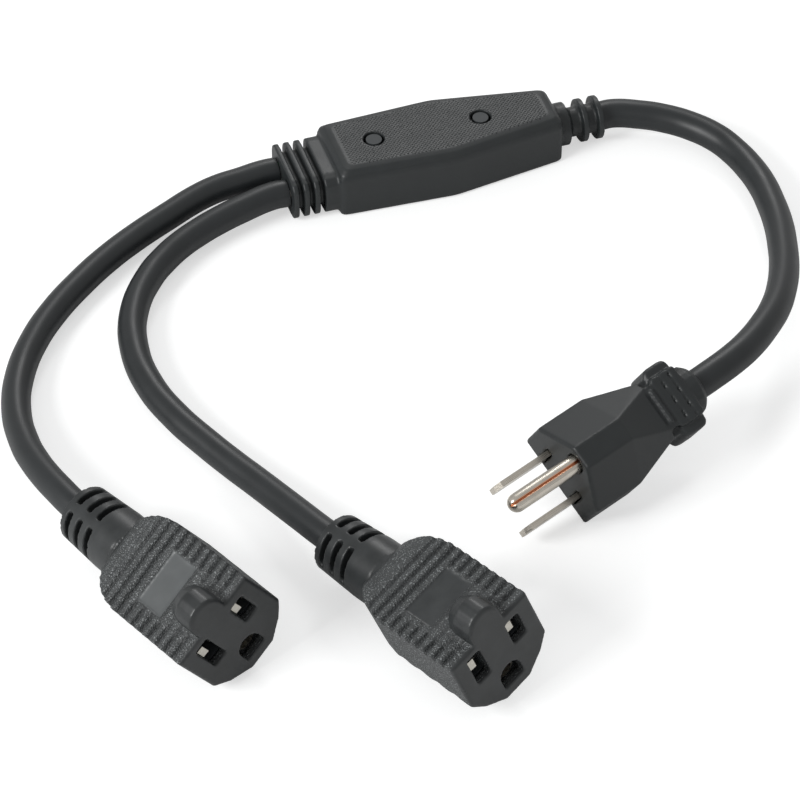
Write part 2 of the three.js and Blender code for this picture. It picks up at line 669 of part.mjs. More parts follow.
function bladeSolid(pole) {
  const y = side[pole] * bladeSpacing / 2;
  const [low, high] = [plug.bladeHeight - blade.width / 2, plug.bladeHeight + blade.width / 2];
  const [root, tip] = [plugFace - blade.root, plugFace + blade.length];
  const cut = blade.tipChamfer;
  const outline = new THREE.Shape([
    new THREE.Vector2(root, low), new THREE.Vector2(tip - cut, low), new THREE.Vector2(tip, low + cut),
    new THREE.Vector2(tip, high - cut), new THREE.Vector2(tip - cut, high), new THREE.Vector2(root, high),
  ]);
  const plate = solid(acrossY(outline, y - blade.thickness / 2, y + blade.thickness / 2));
  return plate.add(rod(root - blade.tailLength, root + 0.5, barrelDiameter, y, plug.bladeHeight));
}

// Ground pin: sheet folded round with an open seam along the top and a round closed tip
function pinSolid() {
  const radius = pin.diameter / 2;
  const inner = radius - pin.wall;
  const tip = plugFace + pin.length;
  const root = plugFace - pin.root;
  const nose = (r, x) => [0, 0.35, 0.65, 0.87, 1].map((t) => [
    x - r + r * Math.cos(t * Math.PI / 2), r * Math.sin(t * Math.PI / 2),
  ]);
  const shank = turned([
    ...nose(radius, tip), [root, radius], [root, barrelDiameter / 2], [root - pin.tailLength, barrelDiameter / 2],
    [root - pin.tailLength, 0],
  ], 0, groundHeight, 16);
  const hollow = turned([...nose(inner, tip - pin.wall), [root + 1, inner], [root + 1, 0]], 0, groundHeight, 16);
  const seam = box(plugFace + 0.6, tip + 1, -pin.seam / 2, pin.seam / 2, groundHeight, groundHeight + radius + 1);
  return shank.subtract(hollow).subtract(seam);
}

function plugTail(pole) {
  if (pole === 'ground') return [plugFace - pin.root - pin.tailLength, 0, groundHeight];
  return [plugFace - blade.root - blade.tailLength, side[pole] * bladeSpacing / 2, plug.bladeHeight];
}

function plugLeadPoints(pole) {
  const [dy, rise] = threeInCord[pole];
  const [end, y, z] = plugTail(pole);
  const x = end - clearance;
  const dz = -rise;
  return [
    v3(0, dy, dz), v3(5, dy, dz), v3(11, dy, dz), v3(17, 0.7 * dy + 0.3 * y, 0.75 * dz + 0.25 * z),
    v3(x - 5, y, z), v3(x, y, z),
  ];
}

function buildPlug(place) {
  const group = placedGroup(place);
  const passages = joined(poles.map((pole) => passage(plugLeadPoints(pole))));
  const bridgeX = plugFace - plug.wall - bridgeLength;
  const room = solid(alongX(rounded(houseOutline(plug.wall - clearance), 0.5),
    bridgeX - clearance, plugFace - plug.wall + clearance, 1));
  const bladeHole = (pole) => {
    const y = side[pole] * bladeSpacing / 2;
    const [w, h] = [blade.thickness / 2 + clearance, blade.width / 2 + clearance];
    return box(plugFace - blade.root - clearance, plugFace + overrun, y - w, y + w,
      plug.bladeHeight - h, plug.bladeHeight + h);
  };
  const barrels = poles.map((pole) => {
    const [x, y, z] = plugTail(pole);
    return rod(x - overrun, plugFace - pin.root, barrelDiameter + 2 * clearance, y, z);
  });
  const pinHole = rod(plugFace - pin.root - clearance, plugFace + overrun, pin.diameter + 2 * clearance, 0, groundHeight, 16);
  const holes = joined([bladeHole('line'), bladeHole('neutral'), pinHole, passages, ...barrels]);
  const { bars, grooves } = gripDetails();
  const body = joined([plugHull(), plugGrip().subtract(grooves), bars]).subtract(room).subtract(holes);
  addNode(group, 'plug_body', body, vinyl());
  const bridge = solid(alongX(rounded(houseOutline(plug.wall), 0.5), bridgeX, bridgeX + bridgeLength, 1));
  addNode(group, 'plug_bridge', bridge.subtract(holes), innerVinyl());
  for (const pole of ['line', 'neutral']) addNode(group, `plug_blade_${pole}`, bladeSolid(pole), nickel());
  addNode(group, 'plug_ground_pin', pinSolid(), nickel());
  for (const pole of poles) addNode(group, `plug_lead_${pole}`, lead(plugLeadPoints(pole)), insulation[pole]());
}

// CORDS: each lies on the surface between a strain relief of the block and the piece on its far end.
// The ends are square to the pieces they meet, a clearance away, and leave them straight
const trunkRoute = [
  [57.6, -2.7, 6.2], [63.3, -5.6, 5.8], [69.8, -10.8, 5.3], [74.9, -17.6, 4.9], [77.5, -24, 4.5], [78.9, -31.6, 4.6],
  [79.1, -39.9, 5.1], [77.9, -49.4, 6.1], [75.8, -59.3, 7.5], [72.4, -69.9, 9.5], [68.3, -80.4, 11.7], [63.2, -90.4, 14],
  [57.6, -99, 16], [51.5, -106, 17.5], [45.3, -111.7, 18.4], [39.2, -115.9, 18.8],
];
const leftRoute = [
  [-57.2, 4.1, 6.1], [-62.9, 3.6, 5.8], [-69, 2.1, 5.4], [-79.8, -2.6, 4.7], [-89.7, -7.4, 4.1], [-99.3, -13.4, 3.9],
  [-108.6, -20.8, 3.9], [-117.5, -29.2, 3.9], [-125.4, -38.9, 3.9], [-131.9, -50.5, 4], [-136, -64.1, 4.9],
  [-137, -79.2, 6.9], [-136.3, -86.8, 8.1], [-135, -93.9, 9.2], [-133.2, -100.6, 10.1],
];
const rightRoute = [
  [-60, -7.2, 6], [-66.6, -9.2, 5.6], [-73.3, -11.8, 5.1], [-79.9, -15.3, 4.7], [-84.9, -18.9, 4.3], [-89.7, -23.5, 4.1],
  [-97.6, -35.9, 3.9], [-101.3, -50.5, 3.9], [-100.9, -65.2, 3.9], [-97.5, -78.2, 3.9], [-92.8, -89.6, 3.9],
  [-87.8, -101.2, 4.5], [-85.3, -107, 5.1], [-82, -115.5, 6.3], [-78.6, -124.7, 7.8],
];

function blockExit(toward, y) {
  const x = block.length / 2 + relief.length + clearance;
  return [v3(toward * x, y, axisHeight), v3(toward * (x + 4), y, axisHeight)];
}

function pieceExit(place) {
  const group = placedGroup(place);
  group.updateMatrix();
  part.remove(group);
  return [clearance + 4, clearance].map((back) => v3(-back, 0, 0).applyMatrix4(group.matrix));
}

function buildCord(name, exit, route, place, diameter, steps) {
  const points = [...exit, ...route.map((point) => v3(...point)), ...pieceExit(place)];
  addNode(part, name, tube(new Run(points, steps), diameter, 10), cordVinyl());
}

buildJunction();
buildSocket('left', leftPlace);
buildSocket('right', rightPlace);
buildPlug(plugPlace);
buildCord('trunk_cord', blockExit(1, 0), trunkRoute, plugPlace, trunkDiameter, 30);
buildCord('left_branch_cord', blockExit(-1, branchSpacing / 2), leftRoute, leftPlace, branchDiameter, 26);
buildCord('right_branch_cord', blockExit(-1, -branchSpacing / 2), rightRoute, rightPlace, branchDiameter, 24);

export default part;
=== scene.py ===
from math import cos, pi, radians, sin

import bmesh
import bpy
import numpy as np
from mathutils import Euler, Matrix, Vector


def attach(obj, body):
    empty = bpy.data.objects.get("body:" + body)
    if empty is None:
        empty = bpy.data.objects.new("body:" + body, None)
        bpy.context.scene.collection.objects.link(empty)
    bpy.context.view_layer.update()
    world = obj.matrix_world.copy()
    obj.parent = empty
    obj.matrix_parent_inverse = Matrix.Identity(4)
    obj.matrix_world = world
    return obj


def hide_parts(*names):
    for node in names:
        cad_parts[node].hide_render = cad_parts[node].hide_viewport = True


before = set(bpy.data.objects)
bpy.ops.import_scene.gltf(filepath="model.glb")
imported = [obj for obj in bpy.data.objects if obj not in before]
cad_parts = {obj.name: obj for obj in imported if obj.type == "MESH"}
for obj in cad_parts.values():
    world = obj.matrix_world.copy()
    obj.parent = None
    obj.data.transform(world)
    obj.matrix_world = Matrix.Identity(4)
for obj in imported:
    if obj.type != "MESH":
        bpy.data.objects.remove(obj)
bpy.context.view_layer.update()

# CAMERA: the height and distance from which the photograph was taken, with a long lens.
# The object lies across the view with the junction block far off and the sockets near.
mm = 0.001
eye = Vector((-232.2, -677.8, 596.8)) * mm
target = Vector((-40.1, -85.8, 0)) * mm
camera = bpy.data.objects.new("camera", bpy.data.cameras.new("camera"))
camera.data.sensor_width = 36
camera.data.lens = 150.3
camera.data.clip_end = 20
camera.location = eye
camera.rotation_euler = (target - eye).to_track_quat("-Z", "Y").to_euler()
bpy.context.collection.objects.link(camera)
bpy.context.scene.camera = camera


# CORD JACKETS: three round cords of extruded soft vinyl over three insulated conductors.
# The trunk runs from the block to the plug and a branch to each socket; each is bonded into the moulding at
# both ends. The jacket is smooth with a low gloss, and slightly wavy over the twisted conductors inside.
class Value:
    """What a socket of a material gives: sums and products of it are worked out by nodes."""

    def __init__(self, finish, socket):
        self.finish = finish
        self.socket = socket

    def math(self, operation, first, second=None):
        values = {0: first} if second is None else {0: first, 1: second}
        return self.finish.node("ShaderNodeMath", {"operation": operation}, values)

    def __add__(self, other):
        return self.math("ADD", self, other)

    __radd__ = __add__

    def __sub__(self, other):
        return self.math("SUBTRACT", self, other)

    def __rsub__(self, other):
        return self.math("SUBTRACT", other, self)

    def __mul__(self, other):
        return self.math("MULTIPLY", self, other)

    __rmul__ = __mul__

    def __abs__(self):
        return self.math("ABSOLUTE", self)

    def wave(self):
        return self.math("COSINE", self)

    def rise(self, start, end):
        """0 below start, 1 above end and smooth between them."""
        return self.finish.node("ShaderNodeMapRange", {"interpolation_type": "SMOOTHSTEP"},
            {"Value": self, "From Min": start, "From Max": end})


class Finish:
    """A material with one shader, and the nodes that vary it over the surface."""

    def __init__(self, name, **uniform):
        self.material = bpy.data.materials.new(name)
        self.material.use_nodes = True
        self.tree = self.material.node_tree
        self.shader = self.tree.nodes["Principled BSDF"]
        for socket, value in uniform.items():
            self.shader.inputs[socket.replace("_", " ")].default_value = value
        self.place = self.node("ShaderNodeTexCoord", {}, {}, "Object")

    def node(self, kind, settings, values, output=0):
        made = self.tree.nodes.new(kind)
        for setting, value in settings.items():
            setattr(made, setting, value)
        for socket, value in values.items():
            if isinstance(value, Value):
                self.tree.links.new(made.inputs[socket], value.socket)
            else:
                made.inputs[socket].default_value = value
        return Value(self, made.outputs[output])

    def vary(self, **inputs):
        for socket, value in inputs.items():
            self.tree.links.new(self.shader.inputs[socket.replace("_", " ")], value.socket)

    def blotches(self, size, detail):
        """Soft random variation from 0 to 1, with patches of that size."""
        values = {"Vector": self.place, "Scale": 1 / size, "Detail": detail}
        return self.node("ShaderNodeTexNoise", {}, values)

    def specks(self, size):
        """Distance from the middle of the nearest of many specks."""
        return self.node("ShaderNodeTexVoronoi", {}, {"Vector": self.place, "Scale": 1 / size})

    def along(self, axis, origin=(0, 0, 0)):
        """How far a point lies along an axis, in metres."""
        kind = "ShaderNodeVectorMath"
        off = self.node(kind, {"operation": "SUBTRACT"}, {0: self.place, 1: tuple(origin)})
        return self.node(kind, {"operation": "DOT_PRODUCT"}, {0: off, 1: tuple(axis)}, "Value")

    def blend(self, share, first, second):
        """First colour, turning into the second as share goes from 0 to 1."""
        return self.node("ShaderNodeMix", {"data_type": "RGBA"}, {0: share, 6: first, 7: second}, 2)

    def relief(self, height, depth, strength):
        return self.node("ShaderNodeBump", {}, {"Height": height, "Distance": depth, "Strength": strength})


def shade(hex_colour):
    """A colour as it is seen, turned into the light that a shader reckons with."""
    parts = [int(hex_colour[i:i + 2], 16) / 255 for i in (0, 2, 4)]
    return tuple(p / 12.92 if p <= 0.04045 else ((p + 0.055) / 1.055) ** 2.4 for p in parts) + (1.0,)


def jacket_finish():
    finish = Finish("cord_jacket", IOR=1.48)
    cloud = finish.blotches(6 * mm, 3)
    fine = finish.blotches(0.25 * mm, 2)
    finish.vary(
        Base_Color=finish.blend(cloud, shade("1c1f20"), shade("25282a")),
        Roughness=0.34 + 0.12 * cloud + 0.06 * fine,
        Normal=finish.relief(0.7 * cloud + 0.3 * fine, 0.05 * mm, 0.5),
    )
    return finish.material


def jacket(name, route, diameter):
    curve = bpy.data.curves.new(name, "CURVE")
    curve.dimensions = "3D"
    curve.bevel_depth = diameter / 2
    curve.bevel_resolution = 9
    curve.resolution_u = 10
    curve.use_fill_caps = True
    spline = curve.splines.new("BEZIER")
    spline.bezier_points.add(len(route) - 1)
    for point, place in zip(spline.bezier_points, route):
        point.co = Vector(place) * mm
        point.handle_left_type = point.handle_right_type = "AUTO"
    piece = bpy.data.objects.new(name, curve)
    bpy.context.collection.objects.link(piece)
    piece.data.materials.append(cord_jacket)
    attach(piece, "root")
    return piece


cord_jacket = jacket_finish()
trunk_diameter = 8.1 * mm
branch_diameter = 7.7 * mm
cord_height = 6.4 * mm
trunk = jacket("trunk_jacket", [
    (46.3, 0, 6.4), (50.3, 0, 6.4),
    (57.6, -2.7, 6.2), (63.3, -5.6, 5.8), (69.8, -10.8, 5.3), (74.9, -17.6, 4.9), (77.5, -24, 4.5),
    (78.9, -31.6, 4.6), (79.1, -39.9, 5.1), (77.9, -49.4, 6.1), (75.8, -59.3, 7.5), (72.4, -69.9, 9.5),
    (68.3, -80.4, 11.7), (63.2, -90.4, 14), (57.6, -99, 16), (51.5, -106, 17.5), (45.3, -111.7, 18.4),
    (39.2, -115.9, 18.8), (29.6, -120.43, 18.41), (25.88, -121.84, 18.02),
], trunk_diameter)
left_branch = jacket("left_branch_jacket", [
    (-46.3, 4.9, 6.4), (-50.3, 4.9, 6.4),
    (-57.2, 4.1, 6.1), (-62.9, 3.6, 5.8), (-69, 2.1, 5.4), (-79.8, -2.6, 4.7), (-89.7, -7.4, 4.1),
    (-99.3, -13.4, 3.9), (-108.6, -20.8, 3.9), (-117.5, -29.2, 3.9), (-125.4, -38.9, 3.9),
    (-131.9, -50.5, 4), (-136, -64.1, 4.9), (-137, -79.2, 6.9), (-136.3, -86.8, 8.1), (-135, -93.9, 9.2),
    (-133.2, -100.6, 10.1), (-131.3, -106.56, 10.67), (-129.72, -110.23, 10.93),
], branch_diameter)
right_branch = jacket("right_branch_jacket", [
    (-46.3, -4.9, 6.4), (-50.3, -4.9, 6.4),
    (-60, -7.2, 6), (-66.6, -9.2, 5.6), (-73.3, -11.8, 5.1), (-79.9, -15.3, 4.7), (-84.9, -18.9, 4.3),
    (-89.7, -23.5, 4.1), (-97.6, -35.9, 3.9), (-101.3, -50.5, 3.9), (-100.9, -65.2, 3.9),
    (-97.5, -78.2, 3.9), (-92.8, -89.6, 3.9), (-87.8, -101.2, 4.5), (-85.3, -107, 5.1), (-82, -115.5, 6.3),
    (-78.6, -124.7, 7.8), (-75.03, -134.15, 9.25), (-73.42, -137.78, 9.71),
], branch_diameter)


# JUNCTION BLOCK: soft vinyl moulded in one shot over the inner mould and the three cord ends.
# The tool's edges leave it well rounded; its top carries a fine cross-cut knurl for grip round two smooth
# ring marks, where pins held the inner mould. The strain reliefs of the cords are part of the same moulding.
def moulded_skin(name, node, cell, easing, material, trim=None):
    """The outside of a vinyl moulding in its solid's shape, with every edge eased as the tool leaves it.
    Trim takes the skin's points and gives them back moved, for true rounds and deep ribs."""
    blank = bpy.data.objects.new(name + "_blank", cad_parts[node].data.copy())
    bpy.context.collection.objects.link(blank)
    remesh = blank.modifiers.new("skin", "REMESH")
    remesh.mode = "VOXEL"
    remesh.voxel_size = cell
    eased = blank.modifiers.new("eased", "SMOOTH")
    eased.factor = 0.5
    eased.iterations = easing
    bpy.context.view_layer.update()
    mesh = bpy.data.meshes.new_from_object(blank.evaluated_get(bpy.context.evaluated_depsgraph_get()))
    bpy.data.objects.remove(blank)
    mesh.name = name
    if trim:
        points = np.empty(3 * len(mesh.vertices))
        mesh.vertices.foreach_get("co", points)
        mesh.vertices.foreach_set("co", trim(points.reshape(-1, 3)).ravel())
        mesh.update()
    mesh.materials.clear()
    mesh.materials.append(material)
    for face in mesh.polygons:
        face.use_smooth = True
    piece = bpy.data.objects.new(name, mesh)
    bpy.context.collection.objects.link(piece)
    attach(piece, "root")
    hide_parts(node)
    return piece


def trued(across, up, radius, slack):
    """Points that lie within slack of a round are moved onto it."""
    reach = np.hypot(across, up)
    share = np.where(abs(reach - radius) < slack, radius / np.maximum(reach, 1e-6), 1)
    return across * share, up * share


def true_junction(points):
    """Makes the trunk's strain relief truly round, and keeps the underside flat on the surface."""
    x, y, z = points.T
    fins = x > 34 * mm
    fin_radius = 6.1 * mm
    round_y, round_z = trued(y, z - cord_height, fin_radius, 0.3 * mm)
    y = np.where(fins, round_y, y)
    z = np.where(fins, round_z + cord_height, z)
    return np.stack([x, y, np.maximum(z, 0)], axis=1)


def junction_finish():
    finish = Finish("junction_vinyl", IOR=1.48)
    cloud = finish.blotches(5 * mm, 3)
    grain = finish.blotches(0.35 * mm, 3)
    wear = finish.blotches(1.6 * mm, 4).rise(0.62, 0.75)
    finish.vary(
        Base_Color=finish.blend(cloud * 0.6 + wear * 0.25, shade("202324"), shade("2d3132")),
        Roughness=0.4 + 0.1 * cloud + 0.12 * wear,
        Normal=finish.relief(grain + 0.6 * cloud, 0.04 * mm, 0.5),
    )
    return finish.material


def mesh_of(work, name, material):
    """The mesh of what was built up face by face, with its faces turned outwards."""
    bmesh.ops.recalc_face_normals(work, faces=work.faces)
    mesh = bpy.data.meshes.new(name)
    work.to_mesh(mesh)
    work.free()
    mesh.materials.append(material)
    return mesh


def knurl_finish():
    finish = Finish("knurled_vinyl", IOR=1.48)
    cloud = finish.blotches(4 * mm, 3)
    # Painted light: the knurl's tips are painted lighter as a highlight, and the valleys between them darker
    # as painted shade.
    painted_tip_highlight = finish.along((0, 0, 1)).rise(15.0 * mm, 15.28 * mm)
    finish.vary(
        Base_Color=finish.blend(0.25 * cloud + 0.75 * painted_tip_highlight, shade("17191a"), shade("3b3f40")),
        Roughness=0.55 - 0.1 * painted_tip_highlight + 0.08 * cloud,
    )
    return finish.material


def knurled_panel():
    """Rows of small four-sided points, set on their corners, between the block's rounded edges."""
    pitch, height, floor, top = 1.12 * mm, 0.34 * mm, 14.6 * mm, 14.9 * mm
    half_length, edge = 28.6 * mm, 3.4 * mm
    block_end, middle_half_width = 33 * mm, 13.4 * mm
    ring_marks, ring_radius = ((-19.8 * mm, 0), (11.1 * mm, 0)), 3.25 * mm
    work = bmesh.new()
    low, deep = {}, {}

    def corner(i, j, store, z):
        if (i, j) not in store:
            store[i, j] = work.verts.new(((i + j) * pitch / 2, (i - j) * pitch / 2, z))
        return store[i, j]

    cells = set()
    reach = int(34 * mm / pitch * 2)
    for i in range(-reach, reach):
        for j in range(-reach, reach):
            x, y = (i + j + 1) * pitch / 2, (i - j) * pitch / 2
            end_half_width = (12 if x < 0 else 8.1) * mm
            spread = (middle_half_width - end_half_width) * (1 - abs(x) / block_end)
            half_width = end_half_width + spread - edge
            clear = all((x - u) ** 2 + (y - v) ** 2 > ring_radius ** 2 for u, v in ring_marks)
            if abs(x) < half_length and abs(y) < half_width and clear:
                cells.add((i, j))
    for i, j in sorted(cells):
        ring = [(i, j), (i + 1, j), (i + 1, j + 1), (i, j + 1)]
        upper = [corner(*c, low, top) for c in ring]
        lower = [corner(*c, deep, floor) for c in ring]
        tip = work.verts.new(((i + j + 1) * pitch / 2, (i - j) * pitch / 2, top + height))
        beside = [(i, j - 1), (i + 1, j), (i, j + 1), (i - 1, j)]
        for k in range(4):
            a, b = k, (k + 1) % 4
            work.faces.new((upper[b], upper[a], tip))
            if beside[k] not in cells:
                work.faces.new((upper[a], upper[b], lower[b], lower[a]))
        work.faces.new(lower)
    piece = bpy.data.objects.new("junction_knurl", mesh_of(work, "junction_knurl", knurl_finish()))
    bpy.context.collection.objects.link(piece)
    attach(piece, "root")
    return piece


cell = 0.375 * mm
moulded_skin("junction_skin", "junction_body", cell, 2, junction_finish(), true_junction)
knurled_panel()


# SOCKET CONNECTORS: one vinyl moulding each, over a carrier with the spring contacts.
# Ribs, shoulder and sides have the coarse spark-eroded grain of the tool, its glitter painted into the
# colour as light specks (painted glints), with painted shade in the rib grooves and a painted highlight on
# the crests; the face, the dome, the bare label panel and the strain relief are polished smooth, and the
# left connector's label panel carries a painted sheen.
socket_length = 59.5 * mm
first_rib, rib_pitch = 3.4 * mm, 3 * mm
socket_places = {
    "left": (Vector((-129.6, -110.5, 10.95)) * mm, -66.6, 3.7, 33.8),
    "right": (Vector((-73.3, -138.05, 9.75)) * mm, -66.1, 6.7, 18.9),
}


def axes_of(yaw, pitch, roll):
    """Along, across and up, as a loose piece lies."""
    turn = Euler((radians(roll), radians(-pitch), radians(yaw)), "XYZ").to_matrix()
    return turn.col[0], turn.col[1], turn.col[2]


def socket_finish(side):
    origin, *turn = socket_places[side]
    ahead, across, up = axes_of(*turn)
    finish = Finish(side + "_socket_vinyl", IOR=1.48)
    along = finish.along(ahead, origin)
    aside = abs(finish.along(across, origin))
    height = finish.along(up, origin)
    grained = along.rise(21.5 * mm, 23 * mm) * (1 - along.rise(58.6 * mm, 59 * mm))
    label_length = along.rise(37.6 * mm, 38 * mm) * (1 - along.rise(46.2 * mm, 46.6 * mm))
    label = (1 - aside.rise(7.0 * mm, 7.4 * mm)) * label_length
    dome_place = along.rise(49 * mm, 49.4 * mm) * height.rise(11.2 * mm, 11.6 * mm)
    dome = (1 - aside.rise(5.1 * mm, 5.3 * mm)) * dome_place
    grained = grained * (1 - label) * (1 - dome)
    ribs = ((socket_length - first_rib - along) * (2 * pi / rib_pitch)).wave()
    # Painted shade: the grooves between the ribs are painted darker and keep few glints; the rib crests get
    # a painted highlight.
    painted_groove_shade = ribs.rise(0.1, 0.9) * height.rise(9 * mm, 10 * mm) * along.rise(27.5 * mm, 28 * mm) * grained
    cloud = finish.blotches(5 * mm, 3)
    specks = finish.specks(0.42 * mm)
    # Painted glints: light specks in the colour of the grained faces stand in for the sparkle of the grain
    # under the lamps.
    painted_glints = finish.blotches(0.34 * mm, 1.5).rise(0.57, 0.68) * grained * (1 - 0.85 * painted_groove_shade)
    painted_crest_highlight = grained * (1 - painted_groove_shade)
    # Painted sheen: the left connector's polished label panel is painted paler than the right's, the same
    # moulding at another angle to the light.
    painted_label_sheen = label * (0.22 if side == "left" else 0.03)
    # The colour share mixes random cloud with the painted glints, the painted crest highlight and the
    # painted label sheen.
    tone = 0.12 * cloud + 0.62 * painted_glints + 0.05 * painted_crest_highlight + painted_label_sheen
    finish.vary(
        Base_Color=finish.blend(tone, shade("131617"), shade("8c9091")),
        Roughness=0.34 + 0.1 * cloud + 0.14 * grained - 0.16 * painted_glints,
        Normal=finish.relief(specks * grained + 0.12 * cloud, 0.2 * mm, 0.8),
    )
    return finish.material


def socket_shape(side):
    """Rounds the neck, deepens the ribs and presses the finger hollows into the slanting sides."""
    origin, *turn = socket_places[side]
    frame_of = np.array(axes_of(*turn))
    middle = np.array(origin)
    slant_out, slant_down = 0.668, 0.744

    def shape(points):
        along, across, up = frame_of @ (points - middle).T
        neck = along < 20 * mm
        share = np.clip((along - 0.9 * mm) / (13 * mm), 0, 1)
        for radius, slack in (((7.6 + 0.7 * share) * mm, 0.35 * mm), (5 * mm, 0.25 * mm)):
            round_across, round_up = trued(across, up, radius, slack)
            across, up = np.where(neck, round_across, across), np.where(neck, round_up, up)
        back = socket_length - along
        wave = np.cos(2 * pi * (back - first_rib) / rib_pitch) * 0.5 + 0.5
        ribbed = (up > 10.4 * mm) & (up < 11.6 * mm) & (back > 2 * mm) & (back < 32 * mm)
        bare = (abs(across) < 7.8 * mm) & (back > 11 * mm) & (back < 23 * mm)
        ribbed &= ~bare & ~((abs(across) < 6 * mm) & (back < 12 * mm))
        deeper, finer_depth, hollow_depth = 0.45 * mm, 0.4 * mm, 0.8 * mm
        up = up - np.where(ribbed, deeper * wave ** 2, 0)
        if side == "left":
            finer = np.cos(2 * pi * (back - 33 * mm) / (1.9 * mm)) * 0.5 + 0.5
            shoulder = (up > 7.5 * mm) & (back >= 32 * mm) & (back < 38.5 * mm)
            up = up - np.where(shoulder, finer_depth * finer, 0)
        hollow = (np.cos(2 * pi * back / (6 * mm)) * 0.5 + 0.5) ** 2
        reach = np.clip((back - 2.5 * mm) / (2 * mm), 0, 1) * np.clip((34 * mm - back) / (3 * mm), 0, 1)
        beside = np.clip((abs(across) - 3.2 * mm) / (2 * mm), 0, 1)
        slant = np.clip((-4.2 * mm - up) / (2.5 * mm), 0, 1) * beside
        outside = abs(across) * slant_out - up * slant_down > 11.2 * mm
        press = np.where(outside, hollow_depth * hollow * reach * slant, 0)
        across = across - np.sign(across) * slant_out * press
        up = up + slant_down * press
        return (frame_of.T @ np.stack([along, across, up])).T + middle

    return shape


for side in socket_places:
    moulded_skin(
        side + "_socket_skin", side + "_socket_body", cell, 2, socket_finish(side), socket_shape(side))


# PLUG: one faceted vinyl moulding with a grip, a scooped wing and a round collar.
# It is moulded over a hard bridge that holds the two blades and the ground pin; its flats are fine satin.
plug_origin = Vector((25.6, -121.94, 17.99)) * mm
plug_ahead, plug_across, plug_up = axes_of(200.6, -5.6, -31.3)


def plug_finish():
    finish = Finish("plug_vinyl", IOR=1.48)
    cloud = finish.blotches(5 * mm, 3)
    grain = finish.blotches(0.3 * mm, 3)
    finish.vary(
        Base_Color=finish.blend(0.5 * cloud, shade("1e2122"), shade("2a2e2f")),
        Roughness=0.4 + 0.12 * cloud,
        Normal=finish.relief(grain, 0.03 * mm, 0.5),
    )
    return finish.material


moulded_skin("plug_skin", "plug_body", cell, 2, plug_finish())


# BLADES AND GROUND PIN: brass with a bright nickel plate, drawn lengthwise.
# The pin is sheet folded round, and the copper colour of the brass shows in its open seam.
def plated_finish(name, ahead):
    finish = Finish(name, Metallic=1.0)
    stretch = finish.node("ShaderNodeCombineXYZ", {}, {
        "X": finish.along(ahead) * 40, "Y": finish.along(ahead.orthogonal().normalized()) * 3000,
        "Z": finish.along(ahead.cross(ahead.orthogonal()).normalized()) * 3000,
    })
    drawn = finish.node("ShaderNodeTexNoise", {}, {"Vector": stretch, "Scale": 1.0, "Detail": 3.0})
    cloud = finish.blotches(2.5 * mm, 3)
    finish.vary(
        Base_Color=finish.blend(0.5 * drawn + 0.5 * cloud, shade("b3ab9e"), shade("efe9de")),
        Roughness=0.2 + 0.14 * drawn,
        Normal=finish.relief(drawn, 0.02 * mm, 0.5),
    )
    return finish


pin_height = plug_up * 8.1 * mm
nickel = plated_finish("nickel_plate", plug_ahead)
for node in ("plug_blade_line", "plug_blade_neutral"):
    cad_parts[node].material_slots[0].material = nickel.material

pin_finish = plated_finish("plated_pin", plug_ahead)
seam_off = abs(pin_finish.along(plug_across, plug_origin))
seam_up = pin_finish.along(plug_up, plug_origin + pin_height)
bare_brass = (1 - seam_off.rise(0.25 * mm, 0.6 * mm)) * seam_up.rise(0.4 * mm, 0.9 * mm)
plated = Value(pin_finish, pin_finish.shader.inputs["Base Color"].links[0].from_socket)
pin_finish.vary(Base_Color=pin_finish.blend(bare_brass, plated, shade("e0a884")))


def rolled_pin():
    """Sheet folded into a tube whose edges curl in and meet in a seam on top; its tip is drawn to a dome."""
    radius, root, face, tip = 2.4 * mm, 36.4 * mm, 42.4 * mm, 63.4 * mm
    section = []
    start, turns = 0.255, 56
    for k in range(turns + 1):
        angle = pi / 2 + start + (2 * pi - 2 * start) * k / turns
        section.append((radius * cos(angle), radius * sin(angle)))
    left, right = section[0], section[-1]
    lip = [(0.32, -0.12), (0.42, -0.3), (0.5, -0.8)]
    rolled = [(left[0] + a * mm, left[1] + b * mm) for a, b in lip]
    lip_left = [(min(x, -0.04 * mm), y) for x, y in rolled]
    outline = section + [(-x, y) for x, y in lip_left] + [(x, y) for x, y in reversed(lip_left)]
    stations = [(root, 0.55), (root + 1.4 * mm, 1), (face, 1)]
    stations += [(face + (tip - radius - face) * k / 6, 1) for k in range(1, 7)]
    stations += [(tip - radius + radius * sin(k / 9 * pi / 2), cos(k / 9 * pi / 2)) for k in range(1, 9)]
    stations.append((tip, 0.06))
    work = bmesh.new()
    rings = []
    for along, share in stations:
        middle = plug_origin + plug_ahead * along + pin_height
        rings.append([
            work.verts.new(middle + plug_across * x * share + plug_up * y * share) for x, y in outline])
    for first, second in zip(rings, rings[1:]):
        for k in range(len(outline)):
            j = (k + 1) % len(outline)
            work.faces.new((first[k], first[j], second[j], second[k]))
    work.faces.new(list(reversed(rings[0])))
    work.faces.new(rings[-1])
    mesh = mesh_of(work, "ground_pin", pin_finish.material)
    for face in mesh.polygons:
        face.use_smooth = len(face.vertices) == 4
    piece = bpy.data.objects.new("ground_pin", mesh)
    bpy.context.collection.objects.link(piece)
    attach(piece, "root")
    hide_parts("plug_ground_pin")
    return piece


ground_pin = rolled_pin()


# INSIDE: spring contacts and ground sleeves of tinned bronze, crimp splices, leads and inner mouldings.
# They show only through the slots, or where the mouldings are cut open.
def plain_finish(name, first, second, size, roughness, metal=0.0):
    finish = Finish(name, Metallic=metal)
    cloud = finish.blotches(size, 3)
    finish.vary(
        Base_Color=finish.blend(cloud, shade(first), shade(second)),
        Roughness=roughness + 0.12 * cloud,
        Normal=finish.relief(cloud, 0.03 * mm, 0.4),
    )
    return finish.material


